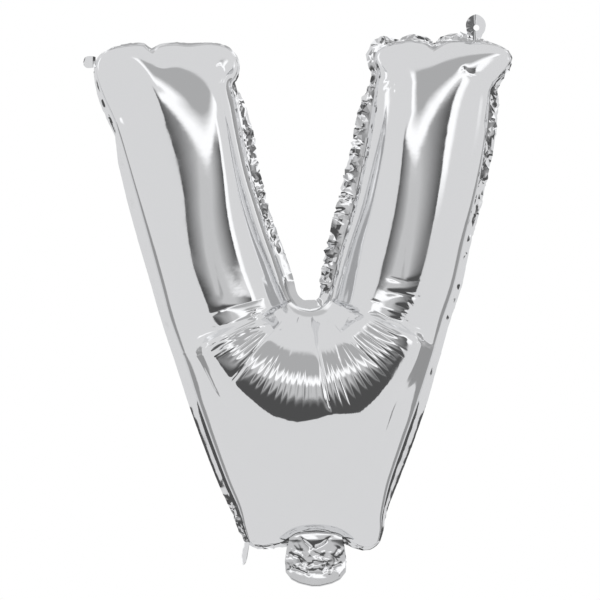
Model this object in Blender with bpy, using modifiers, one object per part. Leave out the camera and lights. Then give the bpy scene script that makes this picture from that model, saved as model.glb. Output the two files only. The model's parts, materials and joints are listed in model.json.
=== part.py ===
"""Foil balloon in the shape of the letter V.

Two film sheets are bulged by the air between them and welded together along a flat sealed margin.
Small hanging tabs and a filling tail are cut from the same film and fold at their roots.
Units are metres and +Z is up. The letter stands in the XZ plane with its front facing -Y, and the
origin is the middle of the letter, at the foot of the notch between its two arms.
"""
import math

import bmesh
import bpy
import numpy as np
from mathutils import Matrix

# Film thicknesses. The real film is about 0.05 mm thick, so these are stand-ins.
FILM = 0.0010
MARGIN_FILM = 0.0010
FLAP_FILM = 0.0006
CLEARANCE = 0.0003
LIP = 0.0015

# The weld line, as X and Z of the points that its smooth curves run through. Each half has the end of its arm, its
# side along the notch, and its outer side with its part of the base.
RIGHT_TOP = ((0.0483, 0.1750), (0.0553, 0.1785), (0.0714, 0.1813), (0.0875, 0.1771), (0.1001, 0.1813),
             (0.1225, 0.1799), (0.1386, 0.1736), (0.1414, 0.1680))
RIGHT_NOTCH = ((0.0483, 0.1750), (0.0462, 0.1701), (0.0483, 0.1582), (0.0441, 0.1330), (0.0357, 0.0875),
               (0.0252, 0.0469), (0.0158, 0.0098), (0.0131, 0.0016), (0.0080, -0.0046), (0.0007, -0.0066))
RIGHT_OUTER = ((0.1414, 0.1680), (0.1302, 0.1519), (0.1260, 0.1365), (0.1218, 0.0980), (0.1092, 0.0420),
               (0.0987, 0.0000), (0.0854, -0.0420), (0.0672, -0.0980), (0.0532, -0.1421), (0.0504, -0.1617),
               (0.0476, -0.1701), (0.0413, -0.1729), (0.0343, -0.1715), (0.0189, -0.1638), (0.0056, -0.1624))
LEFT_TOP = ((-0.0511, 0.1701), (-0.0574, 0.1764), (-0.0693, 0.1792), (-0.0945, 0.1792), (-0.1106, 0.1750),
            (-0.1162, 0.1785), (-0.1288, 0.1778), (-0.1470, 0.1701))
LEFT_NOTCH = ((-0.0511, 0.1701), (-0.0497, 0.1638), (-0.0546, 0.1519), (-0.0504, 0.1365), (-0.0413, 0.0910),
              (-0.0294, 0.0490), (-0.0162, 0.0125), (-0.0123, 0.0022), (-0.0066, -0.0046), (0.0007, -0.0066))
LEFT_OUTER = ((-0.1470, 0.1701), (-0.1491, 0.1638), (-0.1435, 0.1414), (-0.1330, 0.1155), (-0.1204, 0.0700),
              (-0.1050, 0.0140), (-0.0875, -0.0420), (-0.0686, -0.0980), (-0.0497, -0.1456), (-0.0413, -0.1694),
              (-0.0357, -0.1715), (-0.0287, -0.1715), (-0.0084, -0.1638), (0.0056, -0.1624))
CURVE_STEPS = 12

# Rows of the film's grid, from the end of an arm round to the middle line of the body. Each has its end at the notch,
# its end on the outer side, and how many rows there are from it to the next.
RIGHT_ROWS = (((0.0483, 0.1750), (0.1414, 0.1680), 8), ((0.0469, 0.1505), (0.1260, 0.1365), 7),
              ((0.0301, 0.0630), (0.1092, 0.0420), 5), ((0.0158, 0.0098), (0.0940, -0.0130), 3),
              ((0.0128, 0.0000), (0.0880, -0.0300), 6), ((0.0099, -0.0034), (0.0770, -0.0700), 5),
              ((0.0054, -0.0059), (0.0560, -0.1280), 3), ((0.0034, -0.0064), (0.0476, -0.1701), 5),
              ((0.0007, -0.0066), (0.0056, -0.1624), 0))
LEFT_ROWS = (((-0.0511, 0.1701), (-0.1470, 0.1701), 8), ((-0.0515, 0.1410), (-0.1340, 0.1190), 7),
             ((-0.0357, 0.0700), (-0.1150, 0.0500), 5), ((-0.0162, 0.0125), (-0.0973, -0.0140), 3),
             ((-0.0127, 0.0000), (-0.0875, -0.0395), 6), ((-0.0086, -0.0036), (-0.0784, -0.0700), 5),
             ((-0.0044, -0.0059), (-0.0581, -0.1260), 3), ((-0.0024, -0.0064), (-0.0413, -0.1694), 5),
             ((0.0007, -0.0066), (0.0056, -0.1624), 0))
COLUMNS = 16
END_CROWDING = 1.8
END_BOW_REACH = 0.026
HALVES = ((RIGHT_TOP, RIGHT_NOTCH, RIGHT_OUTER, RIGHT_ROWS), (LEFT_TOP, LEFT_NOTCH, LEFT_OUTER, LEFT_ROWS))
MERGE = 0.00001

# Where the blown film is flatter than a round tube: towards the ends of the arms, and in the body
LEFT_ARM_THINNING = 0.23
RIGHT_ARM_THINNING = 0.17
ARM_THINNING_FROM = 0.005
ARM_THINNING_OVER = 0.145
BODY_THINNING = 0.20
BODY_THINNING_FROM = -0.022
BODY_THINNING_OVER = 0.090
BODY_MIDDLE_DELAY = 0.022
BODY_MIDDLE_WIDTH = 0.055

# The arms aren't even: the crown of each one lies to one side, by height in the letter, and its flank along the notch
# sinks towards the arm's end. Each arm's middle line is given by its X at two heights.
LEFT_CROWN = ((0.028, 0.0), (0.056, 0.004), (0.084, 0.011), (0.112, 0.016), (0.140, 0.019))
RIGHT_CROWN = ((0.0, 0.003), (0.056, 0.0), (0.084, -0.004), (0.112, -0.008), (0.140, -0.011))
CROWN_HEIGHT = 0.041
LEFT_MIDDLE = ((-0.010, -0.054), (0.170, -0.098))
RIGHT_MIDDLE = ((-0.010, 0.054), (0.170, 0.094))
ARM_HALF_WIDTH = 0.042
FLANK_SINK = 0.0055
FLANK_SINK_FROM = 0.020
FLANK_SINK_OVER = 0.130
FLANK_START = 0.15

# Folds below the notch: a crease across the foot of each arm, and a fan of film that swells towards its rim.
# A crease has its line, its depth, and how far it reaches on its arm's side and on the body's side.
CREASES = ((((0.0126, 0.0000), (0.0448, -0.0118), (0.0714, -0.0238), (0.0870, -0.0300)), 0.0024, 0.007, 0.024),
           (((-0.0130, 0.0000), (-0.0623, -0.0265), (-0.0860, -0.0385)), 0.0024, 0.007, 0.024))
CREASE_END = 0.1
FAN_CENTRE = (0.0007, 0.0064)
# The fan's rim by direction, in degrees from straight down, and its height by the share of the way to the rim
FAN_RIM = ((-70, 0.0760), (-40, 0.0790), (-27, 0.0836), (-6, 0.0908), (9.5, 0.0845), (21, 0.0902), (34, 0.0837),
           (60, 0.0765), (72, 0.0750))
FAN_HEIGHT = ((0.15, 0.0), (0.33, -0.0022), (0.56, 0.0007), (0.83, 0.0042), (1.0, 0.0060), (1.11, 0.0030),
              (1.2, 0.0009), (1.3, 0.0))
FAN_SPAN = (-60, 63)
FAN_FADE = 9
TAIL_EDGE_BELOW = -0.06

# Width of the sealed margin outside the weld, at places along it
MARGIN_WIDTHS = (((0.100, 0.181), 0.0022), ((0.127, 0.120), 0.0062), ((0.094, -0.014), 0.0050),
                 ((0.057, -0.126), 0.0055), ((0.050, -0.165), 0.0020), ((0.006, -0.162), 0.0022),
                 ((-0.041, -0.169), 0.0024), ((-0.058, -0.126), 0.0060), ((-0.105, 0.014), 0.0064),
                 ((-0.128, 0.098), 0.0060), ((-0.137, 0.127), 0.0035), ((-0.149, 0.164), 0.0014),
                 ((-0.100, 0.179), 0.0014), ((-0.055, 0.152), 0.0025), ((-0.046, 0.116), 0.0082),
                 ((-0.029, 0.049), 0.0070), ((-0.012, 0.002), 0.0048), ((0.001, -0.007), 0.0064),
                 ((0.013, 0.002), 0.0060), ((0.020, 0.028), 0.0098), ((0.041, 0.112), 0.0104),
                 ((0.048, 0.158), 0.0045))
MARGIN_IN = 0.0018

# Hinge gap of the flaps, and their sizes
FOLD_GAP = 0.0008
TAB_ROOT = 0.0060
TAB_HOLE_RADIUS = 0.0021
TAB_HEAD_FROM = -50
TAB_HEAD_POINTS = 28
HOLE_POINTS = 24
TOP_RIGHT_TAB = {"near": (0.1183, 0.195), "width": 0.0147, "length": 0.0168, "twist": 0, "hole": True}
TOP_LEFT_TAB = {"near": (-0.1600, 0.1665), "width": 0.0084, "length": 0.0080, "twist": 0, "hole": False}
BASE_LEFT_TAB = {"near": (-0.0513, -0.195), "width": 0.0090, "length": 0.0145, "twist": 62, "hole": False}
TAIL_X = 0.0047
TAIL_NECK = 0.025
TAIL_WIDTH = 0.0435
TAIL_LENGTH = 0.0336
TAIL_NECK_LENGTH = 0.0026
TAIL_SHOULDER = 0.0090
TAIL_WAIST = 0.38
TAIL_POINTS = 13
TAIL_LAYER_START = 0.006
TAIL_FRONT_INSET = 0.0006
SLEEVE_WIDTH = 0.015
SLEEVE_END_INSET = 0.003

FOIL = (0.80, 0.80, 0.81, 1.0)
SLEEVE_PLASTIC = (0.85, 0.87, 0.88, 1.0)
FOIL_ROUGHNESS = 0.12
PLASTIC_ROUGHNESS = 0.3


def clear_scene():
    for thing in list(bpy.data.objects):
        bpy.data.objects.remove(thing, do_unlink=True)


def material(name, colour, metallic, roughness):
    made = bpy.data.materials.new(name)
    made.use_nodes = True
    shader = made.node_tree.nodes["Principled BSDF"]
    shader.inputs["Base Color"].default_value = colour
    shader.inputs["Metallic"].default_value = metallic
    shader.inputs["Roughness"].default_value = roughness
    return made


def smooth_step(u):
    u = np.clip(u, 0.0, 1.0)
    return u * u * (3 - 2 * u)


def smooth_curve(points):
    """A smooth curve through the points, as many short steps."""
    p = np.array(points)
    p = np.vstack([2 * p[0] - p[1], p, 2 * p[-1] - p[-2]])
    f = np.linspace(0, 1, CURVE_STEPS, endpoint=False)[:, None]
    steps = []
    for before, here, after, beyond in zip(p, p[1:], p[2:], p[3:]):
        steps.append(0.5 * (2 * here + (after - before) * f
                            + (2 * before - 5 * here + 4 * after - beyond) * f ** 2
                            + (3 * (here - after) + beyond - before) * f ** 3))
    return np.vstack(steps + [p[-2:-1]])


def lengths(curve):
    """Distance along a curve of each of its points."""
    return np.concatenate([[0.0], np.cumsum(np.linalg.norm(np.diff(curve, axis=0), axis=1))])


def point_at(curve, distance):
    """Points of a curve at these distances along it."""
    along = lengths(curve)
    return np.stack([np.interp(distance, along, curve[:, k]) for k in (0, 1)], -1)


def place_on(curve, point):
    """Distance along a curve of its point that is nearest to this one."""
    return lengths(curve)[np.argmin(np.linalg.norm(curve - np.array(point), axis=1))]


def half_grid(top, notch, outer, rows):
    """Places in the letter's plane of one half's grid: rows from its arm's end round to the middle line."""
    top, notch, outer = (smooth_curve(side) for side in (top, notch, outer))
    first = np.cumsum([0] + [count for _, _, count in rows[:-1]])
    row = np.arange(first[-1] + 1)
    end_rows = first[1]
    ends = []
    for side, which in ((notch, 0), (outer, 1)):
        places = [place_on(side, pair[which]) for pair in rows]
        places[0] = 0.0
        places[-1] = lengths(side)[-1]
        along = np.interp(row, first, places)
        # Rows crowd together at the end of the arm, where the film turns over to the weld
        along[:end_rows] = places[1] * (row[:end_rows] / end_rows) ** END_CROWDING
        ends.append(along)
    inner, outer = point_at(notch, ends[0]), point_at(outer, ends[1])
    t = (1 - np.cos(np.linspace(0, math.pi, COLUMNS + 1))) / 2
    grid = inner[:, None] * (1 - t)[None, :, None] + outer[:, None] * t[None, :, None]
    bow = point_at(top, t * lengths(top)[-1]) - grid[0]
    fade = np.clip(1 - ends[0] / END_BOW_REACH, 0, 1) ** 2
    return grid + bow[None] * fade[:, None, None]


def flat_film():
    """The flat letter as a grid: one for each half, joined along the middle line."""
    film = bmesh.new()
    for half in HALVES:
        places = half_grid(*half)
        rows, columns = places.shape[0] - 1, places.shape[1] - 1
        made = bmesh.ops.create_grid(film, x_segments=columns, y_segments=rows, size=0.5)
        for v in made["verts"]:
            x, z = places[round((v.co.y + 0.5) * rows), round((v.co.x + 0.5) * columns)]
            v.co = (x, 0, z)
    bmesh.ops.remove_doubles(film, verts=film.verts, dist=MERGE)
    film.verts.index_update()
    return film


def blown_height(film):
    """Height at each point of a film that is blown up over the flat letter and held at its weld.

    Half the height's square is the sag of an evenly loaded membrane, so that a straight arm comes out round.
    """
    flat = np.array([(v.co.x, v.co.z) for v in film.verts])
    weld = np.array([v.is_boundary for v in film.verts])
    corners = np.array([[v.index for v in face.verts] for face in film.faces])
    triangles = np.vstack([corners[:, [0, 1, 2]], corners[:, [0, 2, 3]]])
    stiffness = np.zeros((len(flat), len(flat)))
    load = np.zeros(len(flat))
    for k in range(3):
        i, j, opposite = (triangles[:, (k + n) % 3] for n in range(3))
        a, b = flat[i] - flat[opposite], flat[j] - flat[opposite]
        twice_area = np.abs(a[:, 0] * b[:, 1] - a[:, 1] * b[:, 0])
        weight = (a * b).sum(1) / twice_area / 2
        np.add.at(stiffness, (i, j), -weight)
        np.add.at(stiffness, (j, i), -weight)
        np.add.at(stiffness, (i, i), weight)
        np.add.at(stiffness, (j, j), weight)
        np.add.at(load, i, twice_area / 6)
    free = np.flatnonzero(~weld)
    sag = np.zeros(len(flat))
    sag[free] = np.linalg.solve(stiffness[np.ix_(free, free)], load[free])
    return np.sqrt(2 * np.maximum(sag, 0)), flat, weld


def fullness(flat):
    """How much of its blown height the film keeps at each point of the flat letter."""
    x, z = flat.T
    thinning = np.where(x < 0, LEFT_ARM_THINNING, RIGHT_ARM_THINNING)
    arm = 1 - thinning * np.maximum((z - ARM_THINNING_FROM) / ARM_THINNING_OVER, 0) ** 2
    start = BODY_THINNING_FROM - BODY_MIDDLE_DELAY * np.exp(-(x / BODY_MIDDLE_WIDTH) ** 2)
    return arm * (1 - BODY_THINNING * smooth_step((start - z) / BODY_THINNING_OVER))


def between(value, pairs):
    """The second number of the pairs at each value of the first."""
    return np.interp(value, *np.array(pairs).T)


def crown_shift(flat):
    """How far the crown lies to +X of the even shape, by height in the letter."""
    x, z = flat.T
    return np.where(x < 0, between(z, LEFT_CROWN), between(z, RIGHT_CROWN))


def flank_sink(flat):
    """How much the flank of each arm that faces the notch sinks towards the arm's end."""
    x, z = flat.T
    inward = np.where(x < 0, x - between(z, LEFT_MIDDLE), between(z, RIGHT_MIDDLE) - x) / ARM_HALF_WIDTH
    along = np.clip((z - FLANK_SINK_FROM) / FLANK_SINK_OVER, 0, 1)
    return FLANK_SINK * smooth_step((inward - FLANK_START) / (1 - FLANK_START)) * along ** 1.5


def crease(flat, line, deep, arm_reach, body_reach):
    """Height that a crease takes away: a sharp valley along a line, with a slope on either side."""
    line = np.array(line)
    total = lengths(line)
    nearest = np.full(len(flat), np.inf)
    place = np.zeros(len(flat))
    above = np.zeros(len(flat), bool)
    for k, (start, way) in enumerate(zip(line, np.diff(line, axis=0))):
        f = np.clip((flat - start) @ way / (way @ way), 0, 1)
        off = flat - start - f[:, None] * way
        distance = np.linalg.norm(off, axis=1)
        closer = distance < nearest
        nearest = np.where(closer, distance, nearest)
        place = np.where(closer, (total[k] + f * (total[k + 1] - total[k])) / total[-1], place)
        above = np.where(closer, off[:, 1] > 0, above)
    fade = np.clip(place / CREASE_END, 0, 1) * np.clip((1 - place) / CREASE_END, 0, 1)
    return deep * np.exp(-nearest / np.where(above, arm_reach, body_reach)) * fade


def fan(flat):
    """Height of the fan below the notch, which swells towards its rim and turns over there towards the body."""
    off = flat - np.array(FAN_CENTRE)
    angle = np.degrees(np.arctan2(off[:, 0], -off[:, 1]))
    share = np.linalg.norm(off, axis=1) / between(angle, FAN_RIM)
    fade = np.clip((angle - FAN_SPAN[0]) / FAN_FADE + 1, 0, 1) * np.clip((FAN_SPAN[1] - angle) / FAN_FADE + 1, 0, 1)
    sideways = 1 + np.sin(np.radians(angle)) ** 2
    return between(share, FAN_HEIGHT) * sideways * smooth_step(fade)


def film_shape(film):
    """Each point's X and its height above the middle plane, on one sheet of the blown letter."""
    blown, flat, weld = blown_height(film)
    share = np.clip(blown / CROWN_HEIGHT, 0, 1)
    folds = fan(flat) - flank_sink(flat) * share
    for line, deep, arm_reach, body_reach in CREASES:
        folds -= crease(flat, line, deep, arm_reach, body_reach)
    height = MARGIN_FILM / 2 + CLEARANCE + LIP + np.where(weld, 0, blown * fullness(flat) + folds)
    return flat[:, 0] + crown_shift(flat) * share ** 2, height


def sheet(name, side, foil):
    """One bulged film sheet, with its thickness inwards."""
    film = flat_film()
    across, height = film_shape(film)
    for v in film.verts:
        v.co.x = across[v.index]
        v.co.y = side * height[v.index]
    # The lip is a short straight wall that stands on the sealed margin
    seam = [edge for edge in film.edges if edge.is_boundary]
    for v in bmesh.ops.extrude_edge_only(film, edges=seam)["geom"]:
        if isinstance(v, bmesh.types.BMVert):
            v.co.y -= side * LIP
    bmesh.ops.recalc_face_normals(film, faces=film.faces)
    crown = max(film.faces, key=lambda face: abs(face.calc_center_median().y))
    if crown.normal.y * side < 0:
        bmesh.ops.reverse_faces(film, faces=film.faces)
    mesh = bpy.data.meshes.new(name)
    film.to_mesh(mesh)
    film.free()
    mesh.shade_smooth()
    solid = add(name, mesh, foil).modifiers.new("film", "SOLIDIFY")
    solid.thickness = FILM
    solid.offset = -1


def seam_line():
    """The weld as a closed outline, anticlockwise from the foot of the notch."""
    right, left = (half_grid(*half) for half in HALVES)
    sides = (left[::-1, 0], left[0], left[:, -1], right[::-1, -1], right[0, ::-1], right[:, 0])
    return np.vstack([side[:-1] for side in sides])


def margin_width(line):
    """Width of the sealed margin at each point of the weld."""
    along = lengths(np.vstack([line, line[:1]]))
    places = [along[np.argmin(np.linalg.norm(line - np.array(near), axis=1))] for near, _ in MARGIN_WIDTHS]
    widths = [width for _, width in MARGIN_WIDTHS]
    order = np.argsort(places)
    return np.interp(along[:-1], np.array(places)[order], np.array(widths)[order], period=along[-1])


def offset(outline, distance):
    """The outline moved outwards, each point along the bisector of its two edges."""
    step = np.roll(outline, -1, 0) - np.roll(outline, 1, 0)
    step /= np.linalg.norm(step, axis=1)[:, None]
    return outline + np.stack([step[:, 1], -step[:, 0]], 1) * np.reshape(distance, (-1, 1))


def free_edge():
    """The free edge of the sealed margin."""
    line = seam_line()
    return offset(line, margin_width(line))


def sealed_margin(foil):
    """The flat welded band round the whole letter, as a closed ribbon of rectangular section."""
    inner = offset(seam_line(), -MARGIN_IN)
    outer = free_edge()
    half = MARGIN_FILM / 2
    mesh = bpy.data.meshes.new("seam_margin")
    ribbon = bmesh.new()
    rings = []
    for edge, y in ((inner, -half), (outer, -half), (outer, half), (inner, half)):
        rings.append([ribbon.verts.new((x, y, z)) for x, z in edge])
    count = len(inner)
    for a, b in zip(rings, rings[1:] + rings[:1]):
        for k in range(count):
            n = (k + 1) % count
            ribbon.faces.new((a[k], a[n], b[n], b[k]))
    bmesh.ops.recalc_face_normals(ribbon, faces=ribbon.faces)
    ribbon.to_mesh(mesh)
    ribbon.free()
    add("seam_margin", mesh, foil)


def flap(name, outlines, thickness, foil):
    """A flat cut piece in the XZ plane, with its root at the origin and its length along +Z."""
    curve = bpy.data.curves.new(name, "CURVE")
    curve.dimensions = "2D"
    curve.fill_mode = "BOTH"
    curve.extrude = thickness / 2
    for outline in outlines:
        spline = curve.splines.new("POLY")
        spline.points.add(len(outline) - 1)
        for point, (x, z) in zip(spline.points, outline):
            point.co = (x, z, 0, 1)
        spline.use_cyclic_u = True
    thing = add(name, curve, foil)
    thing.rotation_euler = (math.radians(90), 0, 0)
    return thing


def circle(cx, cz, radius, first, last, count):
    """Points on an arc, with angles in degrees from +X."""
    angles = [math.radians(first + (last - first) * k / (count - 1)) for k in range(count)]
    return [(cx + radius * math.cos(a), cz + radius * math.sin(a)) for a in angles]


def tab_outline(width, length):
    """A round tab on a narrow root."""
    head = circle(0, length - width / 2, width / 2, TAB_HEAD_FROM, 180 - TAB_HEAD_FROM, TAB_HEAD_POINTS)
    return [(-TAB_ROOT / 2, FOLD_GAP / 2), (TAB_ROOT / 2, FOLD_GAP / 2)] + head


def margin_spot(near):
    """The point of the margin's free edge that is nearest to a place, and its outward direction."""
    edge = free_edge()
    step = np.roll(edge, -1, 0) - edge
    f = np.clip(((near - edge) * step).sum(1) / (step ** 2).sum(1), 0, 1)
    spots = edge + f[:, None] * step
    k = np.argmin(np.linalg.norm(spots - near, axis=1))
    tangent = step[k] / np.linalg.norm(step[k])
    return spots[k], np.array([tangent[1], -tangent[0]])


def hanging_tab(name, plan, foil):
    """A tab whose root lies along the margin's free edge, turned about its own length by its twist."""
    outlines = [tab_outline(plan["width"], plan["length"])]
    if plan["hole"]:
        last = 360 - 360 / HOLE_POINTS
        outlines.append(circle(0, plan["length"] - plan["width"] / 2, TAB_HOLE_RADIUS, 0, last, HOLE_POINTS))
    edge, outward = margin_spot(plan["near"])
    root = edge + outward * FOLD_GAP / 2
    thing = flap(name, outlines, FLAP_FILM, foil)
    lean = Matrix.Rotation(math.atan2(outward[0], outward[1]), 4, "Y")
    twist = Matrix.Rotation(math.radians(plan["twist"]), 4, "Z")
    stand = Matrix.Rotation(math.radians(90), 4, "X")
    thing.matrix_world = Matrix.Translation((root[0], 0, root[1])) @ lean @ twist @ stand


def tail_outline(start, inset):
    """The filling tail hanging down: a neck, round shoulders and a round bottom."""
    neck = TAIL_NECK / 2 - inset
    wide = TAIL_WIDTH / 2 - inset
    waist = TAIL_SHOULDER + (TAIL_LENGTH - TAIL_SHOULDER) * TAIL_WAIST
    side = []
    for k in range(TAIL_POINTS):
        u = math.pi / 2 * k / (TAIL_POINTS - 1)
        side.append((wide * math.cos(u), -waist - (TAIL_LENGTH - inset - waist) * math.sin(u)))
    right = [(neck, -start), (neck, -max(TAIL_NECK_LENGTH, start)), (wide, -TAIL_SHOULDER - inset)] + side
    return right + [(-x, z) for x, z in reversed(right) if x > MERGE]


def filling_tail(foil, plastic):
    """Back film with the hinged root, then the valve sleeve and the front film in front of it."""
    edge = free_edge()
    base = edge[(np.abs(edge[:, 0] - TAIL_X) < TAIL_WIDTH) & (edge[:, 1] < TAIL_EDGE_BELOW)]
    base = base[np.argsort(base[:, 0])]
    neck_ends = np.array([TAIL_X - TAIL_NECK / 2, TAIL_X + TAIL_NECK / 2])
    hinge_z = np.interp(neck_ends, base[:, 0], base[:, 1]).min() - FOLD_GAP / 2
    back = flap("tail_back_film", [tail_outline(FOLD_GAP / 2, 0)], FLAP_FILM, foil)
    half = SLEEVE_WIDTH / 2
    end = SLEEVE_END_INSET - TAIL_LENGTH
    sleeve_outline = [(-half, end), (half, end), (half, -TAIL_LAYER_START), (-half, -TAIL_LAYER_START)]
    sleeve = flap("valve_sleeve", [sleeve_outline], FLAP_FILM / 2, plastic)
    front = flap("tail_front_film", [tail_outline(TAIL_LAYER_START, TAIL_FRONT_INSET)], FLAP_FILM, foil)
    layer = FLAP_FILM / 2 + CLEARANCE
    for thing, y in ((back, 0), (sleeve, -layer - FLAP_FILM / 4), (front, -2 * layer - FLAP_FILM / 2)):
        thing.location = (TAIL_X, y, hinge_z)


def add(name, data, look):
    data.materials.append(look)
    thing = bpy.data.objects.new(name, data)
    bpy.context.scene.collection.objects.link(thing)
    return thing


def build():
    clear_scene()
    foil = material("silver_foil", FOIL, 1.0, FOIL_ROUGHNESS)
    plastic = material("clear_plastic", SLEEVE_PLASTIC, 0.0, PLASTIC_ROUGHNESS)
    sheet("envelope_front", -1, foil)
    sheet("envelope_back", 1, foil)
    sealed_margin(foil)
    hanging_tab("hang_tab_top_right", TOP_RIGHT_TAB, foil)
    hanging_tab("hang_tab_top_left", TOP_LEFT_TAB, foil)
    hanging_tab("hang_tab_base_left", BASE_LEFT_TAB, foil)
    filling_tail(foil, plastic)


build()
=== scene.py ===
import json
import math

import bpy
import numpy as np
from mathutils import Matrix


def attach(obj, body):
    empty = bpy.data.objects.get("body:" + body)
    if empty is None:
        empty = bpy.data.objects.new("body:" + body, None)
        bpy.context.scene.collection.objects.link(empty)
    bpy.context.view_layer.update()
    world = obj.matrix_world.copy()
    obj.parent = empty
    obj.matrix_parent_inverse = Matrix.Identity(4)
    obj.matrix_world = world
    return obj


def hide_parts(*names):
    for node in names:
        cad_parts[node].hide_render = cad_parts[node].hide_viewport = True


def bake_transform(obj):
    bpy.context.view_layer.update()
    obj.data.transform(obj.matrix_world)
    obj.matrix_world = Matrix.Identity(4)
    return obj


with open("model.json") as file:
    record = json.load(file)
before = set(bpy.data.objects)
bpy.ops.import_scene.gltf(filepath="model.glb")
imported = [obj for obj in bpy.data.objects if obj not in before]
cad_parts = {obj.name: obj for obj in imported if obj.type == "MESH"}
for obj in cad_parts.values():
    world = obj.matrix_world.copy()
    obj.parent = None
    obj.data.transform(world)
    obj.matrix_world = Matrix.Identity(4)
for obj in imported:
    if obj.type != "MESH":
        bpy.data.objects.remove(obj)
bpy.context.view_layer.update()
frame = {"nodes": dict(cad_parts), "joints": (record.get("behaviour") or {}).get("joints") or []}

MM = 0.001

# The line of the weld, in millimetres, as X and Z. Each run goes from one corner of the letter to the
# next.
RIGHT_TOP = ((48.3, 175), (55.3, 178.5), (63, 179.9), (71.4, 181.3), (81.2, 179.9), (87.5, 177.1),
             (93.8, 179.9), (100.1, 181.3), (109.9, 181.3), (122.5, 179.9), (132.3, 177.8),
             (138.6, 173.6), (141.4, 168))
RIGHT_OUTER = ((141.4, 168), (137.2, 161), (130.2, 151.9), (126.7, 144.9), (126, 136.5), (124.6, 119),
               (121.8, 98), (116.2, 70), (109.2, 42), (102.9, 14), (98.7, 0), (93.8, -14), (85.4, -42),
               (77, -70), (67.2, -98), (57.4, -126), (53.2, -142.1), (51.1, -152.6), (50.4, -161.7),
               (47.6, -170.1))
RIGHT_BASE = ((47.6, -170.1), (41.3, -172.9), (34.3, -171.5), (25.9, -167.3), (18.9, -163.8),
              (5.6, -162.4))
RIGHT_INNER = ((48.3, 175), (46.2, 170.1), (46.9, 163.8), (48.3, 158.2), (46.9, 150.5), (44.1, 133),
               (40.6, 112), (35.7, 87.5), (30.1, 63), (25.2, 46.9), (20.3, 28), (15.8, 9.8),
               (13.1, 1.6), (8.0, -4.6), (0.7, -6.6))
LEFT_TOP = ((-51.1, 170.1), (-57.4, 176.4), (-69.3, 179.2), (-83.3, 178.5), (-94.5, 179.2),
            (-104.3, 177.8), (-110.6, 175), (-116.2, 178.5), (-128.8, 177.8), (-140, 175),
            (-147, 170.1))
LEFT_OUTER = ((-147, 170.1), (-149.1, 163.8), (-147.7, 154), (-143.5, 141.4), (-137.2, 127.4),
              (-133, 115.5), (-128.1, 98), (-120.4, 70), (-112.7, 42), (-105, 14), (-97.3, -14),
              (-87.5, -42), (-78.4, -70), (-68.6, -98), (-58.1, -126), (-49.7, -145.6), (-45.5, -159.6),
              (-41.3, -169.4))
LEFT_BASE = ((-41.3, -169.4), (-35.7, -171.5), (-28.7, -171.5), (-16.8, -168.7), (-8.4, -163.8),
             (5.6, -162.4))
LEFT_INNER = ((-51.1, 170.1), (-49.7, 163.8), (-51.1, 156.8), (-54.6, 151.9), (-53.2, 145.6),
              (-50.4, 136.5), (-46.2, 115.5), (-41.3, 91), (-35.7, 70), (-29.4, 49), (-23.1, 31.5),
              (-16.2, 12.5), (-12.3, 2.2), (-6.6, -4.6), (0.7, -6.6))

# Rows run from the inner edge to the outer edge. Each pair is one row's two ends, and the number is how
# many rows follow before the next pair.
RIGHT_ROWS = (((48.3, 175), (141.4, 168), 40), ((46.9, 150.5), (126, 136.5), 62),
              ((30.1, 63), (109.2, 42), 44), ((15.8, 9.8), (94, -13), 30),
              ((13.2, -0.5), (87, -36), 50), ((9.9, -3.4), (77, -70), 48),
              ((5.4, -5.9), (56, -128), 24), ((3.4, -6.4), (47.6, -170.1), 34),
              ((0.7, -6.6), (5.6, -162.4), 0))
LEFT_ROWS = (((-51.1, 170.1), (-147, 170.1), 40), ((-51.5, 141), (-134, 119), 62),
             ((-35.7, 70), (-115, 50), 44), ((-16.2, 12.5), (-97.3, -14), 30),
             ((-12.9, 0.5), (-90, -36), 50), ((-8.6, -3.6), (-78.4, -70), 48),
             ((-4.4, -5.9), (-58.1, -126), 24), ((-2.4, -6.4), (-41.3, -169.4), 34),
             ((0.7, -6.6), (5.6, -162.4), 0))
COLUMNS = 96
EDGE_ANGLE = 0.11
FILM_LIFT = 0.4
TOP_BLEND = 26.0
# The rows' places are evened out over this many rows to each side. Above the first pair of ends they crowd
# together towards the top.
ROW_BLUR = 9
TOP_CROWDING = 0.35
TOP_SPREAD = 1.5
SOLVER_STEPS = 4000
SOLVER_END = 1e-12


def smooth_curve(points, dense=14):
    """A smooth curve through points, as many short steps."""
    p = np.array(points, float)
    p = np.vstack([2 * p[0] - p[1], p, 2 * p[-1] - p[-2]])
    u = np.linspace(0, 1, dense, endpoint=False)[:, None]
    runs = []
    for k in range(1, len(p) - 2):
        a, b, c, d = p[k - 1], p[k], p[k + 1], p[k + 2]
        runs.append(0.5 * (2 * b + (c - a) * u + (2 * a - 5 * b + 4 * c - d) * u ** 2
                           + (3 * b - a - 3 * c + d) * u ** 3))
    return np.vstack(runs + [p[-2:-1]])


def lengths(curve):
    """The distance along a curve of each of its points."""
    return np.concatenate([[0], np.cumsum(np.linalg.norm(np.diff(curve, axis=0), axis=1))])


def at(curve, distance):
    """The points of a curve at these distances along it."""
    s = lengths(curve)
    return np.stack([np.interp(distance, s, curve[:, k]) for k in (0, 1)], -1)


def place_on(curve, point):
    """How far along the curve its point nearest to this one lies."""
    return lengths(curve)[np.argmin(np.linalg.norm(curve - np.array(point), axis=1))]


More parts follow.
